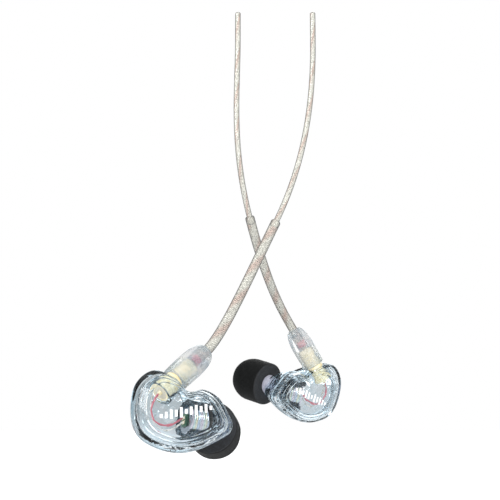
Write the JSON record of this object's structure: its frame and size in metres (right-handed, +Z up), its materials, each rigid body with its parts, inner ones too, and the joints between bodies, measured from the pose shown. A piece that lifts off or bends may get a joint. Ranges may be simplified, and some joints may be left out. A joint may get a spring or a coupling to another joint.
{
  "type": "in ear monitors",
  "caption": "Pair of clear-shell wired in ear monitors with foam ear tips, turning coaxial snap connectors and over-ear cable sleeves.",
  "frame": {"origin": "centre of the left cable's cut top end", "axes": "+Z up along the hanging cables, -Y towards the viewer who sees the left earphone's face, +X to the viewer's right"},
  "size_m": [0.0559, 0.088, 0.1222],
  "materials": {
    "clear_shell": "clear polycarbonate, blue-grey tint",
    "grey_plastic": "satin grey",
    "dark_mesh": "fine mesh",
    "smoked_plastic": "smoked dark blue",
    "steel": "ribbed bright steel",
    "magnet": "nickel plated",
    "copper": "enamelled copper",
    "film": "thin film",
    "rubber": "black",
    "board": "solder mask",
    "gold": "gold plated",
    "cream_plastic": "cream",
    "red_insulation": "pink-red",
    "tinned_wire": "twisted silver and copper strands",
    "foam": "slow-recovery foam, fine grain",
    "black_plastic": "black",
    "frosted_boot": "milky clear, blue-grey",
    "clear_jacket": "clear, pearly"
  },
  "bodies": {
    "cable_harness": {"left_cable_jacket": "clear_jacket", "left_cable_conductors": "tinned_wire", "right_cable_jacket": "clear_jacket", "right_cable_conductors": "tinned_wire"},
    "left_ear_loop": {"left_plug_barrel": "gold", "left_plug_insulator": "cream_plastic", "left_plug_pin": "gold", "left_boot": "frosted_boot", "left_core_shrink": "red_insulation", "left_ear_sleeve": "clear_jacket", "left_ear_wire": "steel", "left_ear_conductors": "tinned_wire"},
    "left_snap_ring_turning": {"left_snap_ring": "steel"},
    "left_earphone": {"left_outer_shell": "clear_shell", "left_inner_shell": "clear_shell", "left_nozzle": "grey_plastic", "left_acoustic_filter": "dark_mesh", "left_sound_chamber": "smoked_plastic", "left_driver_can": "steel", "left_magnet": "magnet", "left_pole_plate": "steel", "left_voice_coil": "copper", "left_diaphragm": "film", "left_driver_gasket": "rubber", "left_terminal_board": "board", "left_socket_barrel": "gold", "left_socket_insulator": "cream_plastic", "left_socket_contact": "gold", "left_signal_lead": "red_insulation", "left_ground_lead": "tinned_wire"},
    "left_ear_tip": {"left_foam_tip": "foam", "left_tip_core": "black_plastic"},
    "right_ear_loop": {"right_plug_barrel": "gold", "right_plug_insulator": "cream_plastic", "right_plug_pin": "gold", "right_boot": "frosted_boot", "right_core_shrink": "red_insulation", "right_ear_sleeve": "clear_jacket", "right_ear_wire": "steel", "right_ear_conductors": "tinned_wire"},
    "right_snap_ring_turning": {"right_snap_ring": "steel"},
    "right_earphone": {"right_outer_shell": "clear_shell", "right_inner_shell": "clear_shell", "right_nozzle": "grey_plastic", "right_acoustic_filter": "dark_mesh", "right_sound_chamber": "smoked_plastic", "right_driver_can": "steel", "right_magnet": "magnet", "right_pole_plate": "steel", "right_voice_coil": "copper", "right_diaphragm": "film", "right_driver_gasket": "rubber", "right_terminal_board": "board", "right_socket_barrel": "gold", "right_socket_insulator": "cream_plastic", "right_socket_contact": "gold", "right_signal_lead": "red_insulation", "right_ground_lead": "tinned_wire"},
    "right_ear_tip": {"right_foam_tip": "foam", "right_tip_core": "black_plastic"}
  },
  "joints": [
    {"name": "left_cable_flex", "type": "hinge", "parent": "cable_harness", "child": "left_ear_loop", "pos_m": [-0.0107, -0.007, -0.0609], "axis": [0, 1, 0], "range_deg": [-12, 12]},
    {"name": "left_swivel", "type": "hinge", "parent": "left_ear_loop", "child": "left_snap_ring_turning", "pos_m": [-0.03586, -0.02847, -0.10333], "axis": [0.573, 0.5825, 0.5766], "continuous": true},
    {"name": "left_unplug", "type": "slide", "parent": "left_snap_ring_turning", "child": "left_earphone", "axis": [-0.573, -0.5825, -0.5766], "range_m": [0, 0.006]},
    {"name": "left_tip_off", "type": "slide", "parent": "left_earphone", "child": "left_ear_tip", "axis": [0.1446, 0.9565, -0.2534], "range_m": [0, 0.006]},
    {"name": "right_cable_flex", "type": "hinge", "parent": "cable_harness", "child": "right_ear_loop", "pos_m": [-0.0177, 0.001, -0.0582], "axis": [0, 1, 0], "range_deg": [-12, 12]},
    {"name": "right_swivel", "type": "hinge", "parent": "right_ear_loop", "child": "right_snap_ring_turning", "pos_m": [0.00215, 0.03866, -0.09718], "axis": [-0.506, -0.1367, 0.8516], "continuous": true},
    {"name": "right_unplug", "type": "slide", "parent": "right_snap_ring_turning", "child": "right_earphone", "axis": [0.506, 0.1367, -0.8516], "range_m": [0, 0.006]},
    {"name": "right_tip_off", "type": "slide", "parent": "right_earphone", "child": "right_ear_tip", "axis": [-0.7298, 0.6369, 0.2486], "range_m": [0, 0.006]}
  ]
}
